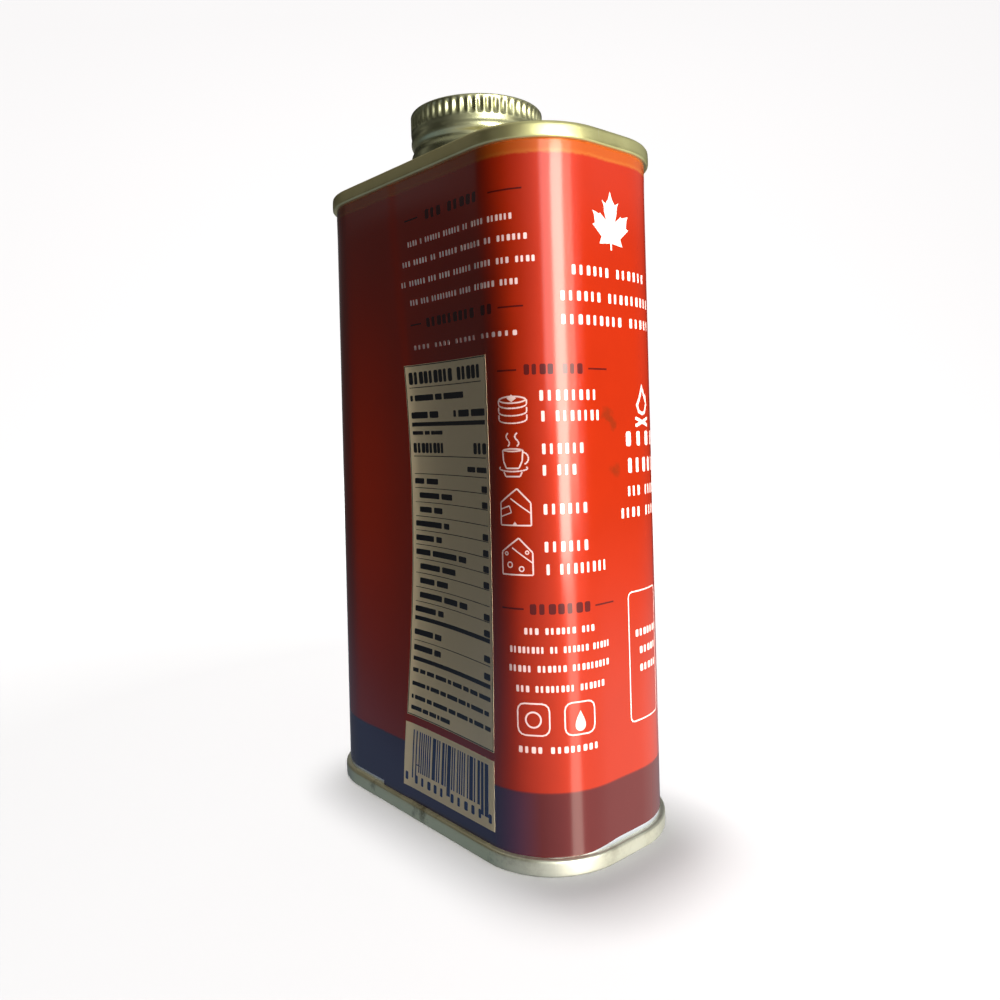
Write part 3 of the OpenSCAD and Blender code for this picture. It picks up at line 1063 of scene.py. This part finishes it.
def wedge(bm, s, z, size, width, holes):
    """A cut wedge with its peak up, split by a slanting edge, with holes or with cream lines."""
    rim = [(-0.45, -0.46), (0.45, -0.46), (0.45, 0.14), (0.08, 0.52), (-0.45, 0.14), (-0.45, -0.46)]
    pen(bm, width, *placed(s, z, size, rim))
    fine = 0.8 * width
    pen(bm, fine, *placed(s, z, size, [(-0.12, 0.26), (0.45, -0.14)]))
    if holes:
        for x, y, radius in ((-0.2, -0.2, 0.09), (0.14, -0.3, 0.08), (0.3, 0.14, 0.06), (-0.3, 0.1, 0.06)):
            ring(bm, s + x * size, z + y * size, radius * size, fine, 1.0, 0, 360, 12)
    else:
        pen(bm, fine, *placed(s, z, size, [(-0.45, -0.04), (-0.16, 0.06), (-0.1, -0.12), (-0.45, -0.24)]))
        cut_shape(bm, placed(s, z, size, [(-0.08, -0.46), (0.08, -0.46), (0, -0.36)]))


def flame(bm, s, z, size):
    """A small flame over two crossed logs."""
    outline = [(0.0, 0.5), (0.16, 0.22), (0.2, 0.28), (0.27, 0.02), (0.16, -0.2), (0.0, -0.24),
               (-0.17, -0.18), (-0.26, 0.0), (-0.13, 0.2)]
    cut_shape(bm, placed(s, z, size, outline), 0.075 * size)
    for left, right in ((-0.48, -0.3), (-0.3, -0.48)):
        pen(bm, 0.08 * size, *placed(s, z, size, [(-0.3, left), (0.3, right)]))


STORY = [(-30.8, -3.6, 105.2, "4166246"), (-33.0, -1.2, 101.8, "3526626"), (-34.0, 0.0, 98.2, "26346534"),
         (-31.8, -2.8, 94.7, "339464")]
COLUMN = [(0.2, 10.0, 76.3, "8"), (0.4, 10.6, 73.0, "17"), (0.4, 7.2, 67.8, "6"), (0.4, 5.8, 64.4, "13"),
          (0.4, 7.6, 58.2, "6"), (0.4, 7.6, 52.2, "6"), (0.6, 11.3, 48.6, "18")]
NOTES = [(-3.2, 8.4, 38.8, "363"), (-5.8, 11.6, 35.8, "8265"), (-6.0, 11.4, 32.8, "569"),
         (-4.8, 10.2, 29.6, "386"), (-4.6, 8.6, 19.9, "48")]
SIDE = [(6.0, 23.6, 96.4, "66"), (4.0, 25.6, 92.2, "69"), (4.0, 25.6, 88.4, "95")]
CAMP = [(17.2, 26.8, 68.9, "4"), (17.6, 26.6, 64.4, "5")]
CAMP_SMALL = [(17.4, 26.6, 60.1, "34"), (15.6, 28.4, 56.5, "45")]
REGION = [(18.4, 25.6, 36.0, "7"), (19.4, 24.8, 33.0, "5"), (19.4, 24.8, 30.0, "5")]
LINE = 0.24
drawing = bmesh.new()
for table, height, fill in ((STORY, 1.0, 0.54), ([(-32.0, -3.2, 86.5, "4456")], 0.85, 0.46),
                            (COLUMN, 1.7, 0.44), (NOTES, 1.05, 0.58), (SIDE, 1.6, 0.46),
                            (CAMP, 2.5, 0.46), (CAMP_SMALL, 1.7, 0.46), (REGION, 1.2, 0.64)):
    rows(drawing, table, height, fill)
cut_shape(drawing, leaf_points(14.75, 105.2, 9.8))
stack(drawing, -4.4, 74.8, 6.0, LINE)
cup(drawing, -4.5, 65.8, 7.3, LINE)
wedge(drawing, -4.3, 58.4, 6.0, LINE, False)
wedge(drawing, -4.2, 50.5, 6.0, LINE, True)
flame(drawing, 22.0, 74.6, 7.4)
framed(drawing, -4.8, 0.6, 22.1, 27.4, 1.3, LINE)
framed(drawing, 2.8, 8.2, 22.0, 27.4, 1.3, LINE)
framed(drawing, 16.6, 25.6, 21.2, 43.2, 1.0, LINE)
ring(drawing, -2.1, 24.7, 1.35, 0.26)
cut_shape(drawing, drop_points(5.5, 24.3, 1.25))
print_on_film("white_print_near", drawing, WHITE_INK)

# %% Dark print, near faces
RULES = [(-31.2, -27.0, 109.5), (-7.8, -1.8, 109.5), (-32.4, -29.0, 90.7), (-6.5, -2.0, 90.7),
         (-7.0, -3.4, 80.5), (8.6, 12.8, 80.5), (-7.2, -3.2, 42.3), (8.8, 13.0, 42.3)]
HEADINGS = [(-24.8, -10.2, 109.5, "35"), (-27.4, -7.6, 90.7, "92"), (-2.2, 7.4, 80.5, "43"),
            (-2.2, 7.8, 42.3, "7")]
drawing = bmesh.new()
for s0, s1, z in RULES:
    rule(drawing, s0, s1, z, 0.28)
rows(drawing, HEADINGS, 1.7, 0.7)
print_on_film("dark_headings", drawing, DARK_INK)

# %% [markdown]
# ## Facts panel and code panel
# Both panels are opaque pale fields with dark print: ruled rows with short figures at the right
# on one, and upright stripes of a few widths on the other.

# %% Panels
FACTS = (-35.6, -9.7, 18.1, 83.4)
CODE = (-35.8, -9.7, 5.2, 16.7)
for name, (s0, s1, z0, z1) in (("facts_panel", FACTS), ("code_panel", CODE)):
    drawing = bmesh.new()
    flat_bar(drawing, s0, s1, z0, z1)
    print_on_film(name, drawing, PANEL_INK)

# %% Print of the facts panel
left, right = FACTS[0] + 1.1, FACTS[1] - 0.8
wide = right - left
HEADS = [(0.0, wide - 1.0, 80.9, 2.3, "95", 0.78), (0.0, 9.6, 67.9, 1.9, "8", 0.8),
         (wide - 4.2, wide, 67.9, 1.9, "3", 0.8)]
LINES = [(0.0, 17.2, 77.2, 1.1, "1839"), (0.0, 8.5, 74.0, 1.2, "74"), (wide - 10.5, wide, 74.0, 1.2, "145"),
         (0.0, 9.5, 70.7, 0.7, "637"), (wide - 6.6, wide, 64.3, 0.9, "56"), (0.0, 8.4, 33.5, 1.05, "83"),
         (0.0, 8.4, 30.6, 1.05, "83"), (0.0, wide, 26.5, 0.75, "334625346"),
         (0.0, 0.98 * wide, 24.0, 0.75, "926475283"), (0.0, wide, 21.6, 0.75, "163846253"),
         (0.0, 0.5 * wide, 19.6, 0.75, "95628")]
# The rows of the table, as words and whether they are set in and have a figure at the right
ROWS = [("34", 0, 1), ("74", 1, 1), ("43", 1, 0), ("92", 0, 1), ("62", 0, 1), ("593", 0, 1), ("75", 1, 1),
        ("54", 1, 0), ("853", 1, 1), ("72", 0, 1)]
drawing = bmesh.new()
s0, s1, z0, z1 = FACTS[0] + 0.1, FACTS[1] - 0.1, FACTS[2] + 0.1, FACTS[3] - 0.1
cut_shape(drawing, [(s0, z0), (s1, z0), (s1, z1), (s0, z1)], 0.16)
for first, last, z, height, words, fill in HEADS:
    dashes(drawing, left + first, left + last, z, height, words, fill)
for first, last, z, height, words in LINES:
    bars(drawing, left + first, left + last, z, height, words)
rule(drawing, left, right - 0.8, 79.17, 0.14)
for z, thick in ((72.3, 0.75), (66.37, 0.14), (36.1, 0.75), (31.96, 0.12), (28.6, 0.75)):
    rule(drawing, left, right, z, thick)
for number, (words, set_in, figure) in enumerate(ROWS):
    z = 61.7 - number * 2.655
    start = left + 1.2 * set_in
    bars(drawing, start, start + sum(int(digit) + 0.8 for digit in words) * 0.84, z, 1.05, words)
    rule(drawing, left, right, z + 1.37, 0.12)
    if figure:
        bars(drawing, right - 1.9, right, z - 0.6, 1.1, "2")
for z in (33.0, 30.1):
    bars(drawing, right - 1.9, right, z, 1.1, "2")
print_on_film("facts_print", drawing, TEXT_INK, 1.5 * INK)

# %% Print of the code panel
drawing = bmesh.new()
random.seed(31)
margin = 2.4
at, stripe = CODE[0] + margin, 0
while at < CODE[1] - margin:
    thick = random.choice((0.36, 0.36, 0.7, 1.0))
    longer = stripe < 2 or CODE[1] - 4.0 < at or abs(at - (CODE[0] + CODE[1]) / 2) < 0.7
    flat_bar(drawing, at, at + thick, 7.0 if longer else 8.4, 15.7)
    at += thick + random.choice((0.28, 0.28, 0.28, 0.6))
    stripe += 1
rows(drawing, [(-35.3, -34.5, 7.0, "1"), (-32.4, -23.8, 7.0, "5"), (-21.6, -13.0, 7.0, "5"),
               (-11.2, -10.4, 7.0, "1")], 1.5, 0.45)
print_on_film("code_stripes", drawing, NAVY_INK, 1.5 * INK)

# %% [markdown]
# ## Print on the far faces
# The far broad face carries a large leaf under a short ruled heading, rows, and a drop between
# two rules. The far narrow side repeats the small leaf with rows of its own.

# %% Print, far faces
BACK = BEND / 2 + 2 * RUN_Y + BEND + RUN_X
LEFT = BACK + RUN_X + BEND + RUN_Y


def centred(middle, table):
    """A table of rows whose first number is half of a row's length."""
    return [(middle - half, middle + half, z, words) for half, z, words in table]


def side_rules(bm, middle, near, far, z, thick):
    """Two rules, one at each side of a middle."""
    for side in (-1, 1):
        rule(bm, *sorted((middle + side * near, middle + side * far)), z, thick)


drawing = bmesh.new()
cut_shape(drawing, leaf_points(BACK, 84.0, 30.0))
rows(drawing, centred(BACK, [(15.0, 62.0, "57")]), 2.6)
rows(drawing, centred(BACK, [(11.0, 56.5, "464"), (13.0, 52.5, "5374"), (12.0, 22.0, "836")]), 1.6)
cut_shape(drawing, drop_points(BACK, 33.5, 5.0), 0.6)
side_rules(drawing, BACK, 8, 17, 33.5, 0.4)
cut_shape(drawing, leaf_points(LEFT, 105.5, 9.9))
rows(drawing, centred(LEFT, [
    (8.0, 96.4, "57"), (9.4, 92.2, "48"), (9.4, 88.4, "75"), (8.6, 60.0, "484"), (9.4, 56.2, "3535"),
    (7.0, 52.4, "46"), (8.4, 30.0, "57"), (6.0, 26.2, "8")]), 1.5)
print_on_film("white_print_far", drawing, WHITE_INK)

drawing = bmesh.new()
side_rules(drawing, BACK, 9, 16, 107.5, 0.28)
rows(drawing, centred(BACK, [(7.0, 107.5, "46")]), 1.8, 0.7)
side_rules(drawing, LEFT, 5, 9.4, 72.0, 0.28)
rows(drawing, centred(LEFT, [(3.8, 72.0, "6")]), 1.7, 0.7)
print_on_film("dark_print_far", drawing, DARK_INK)
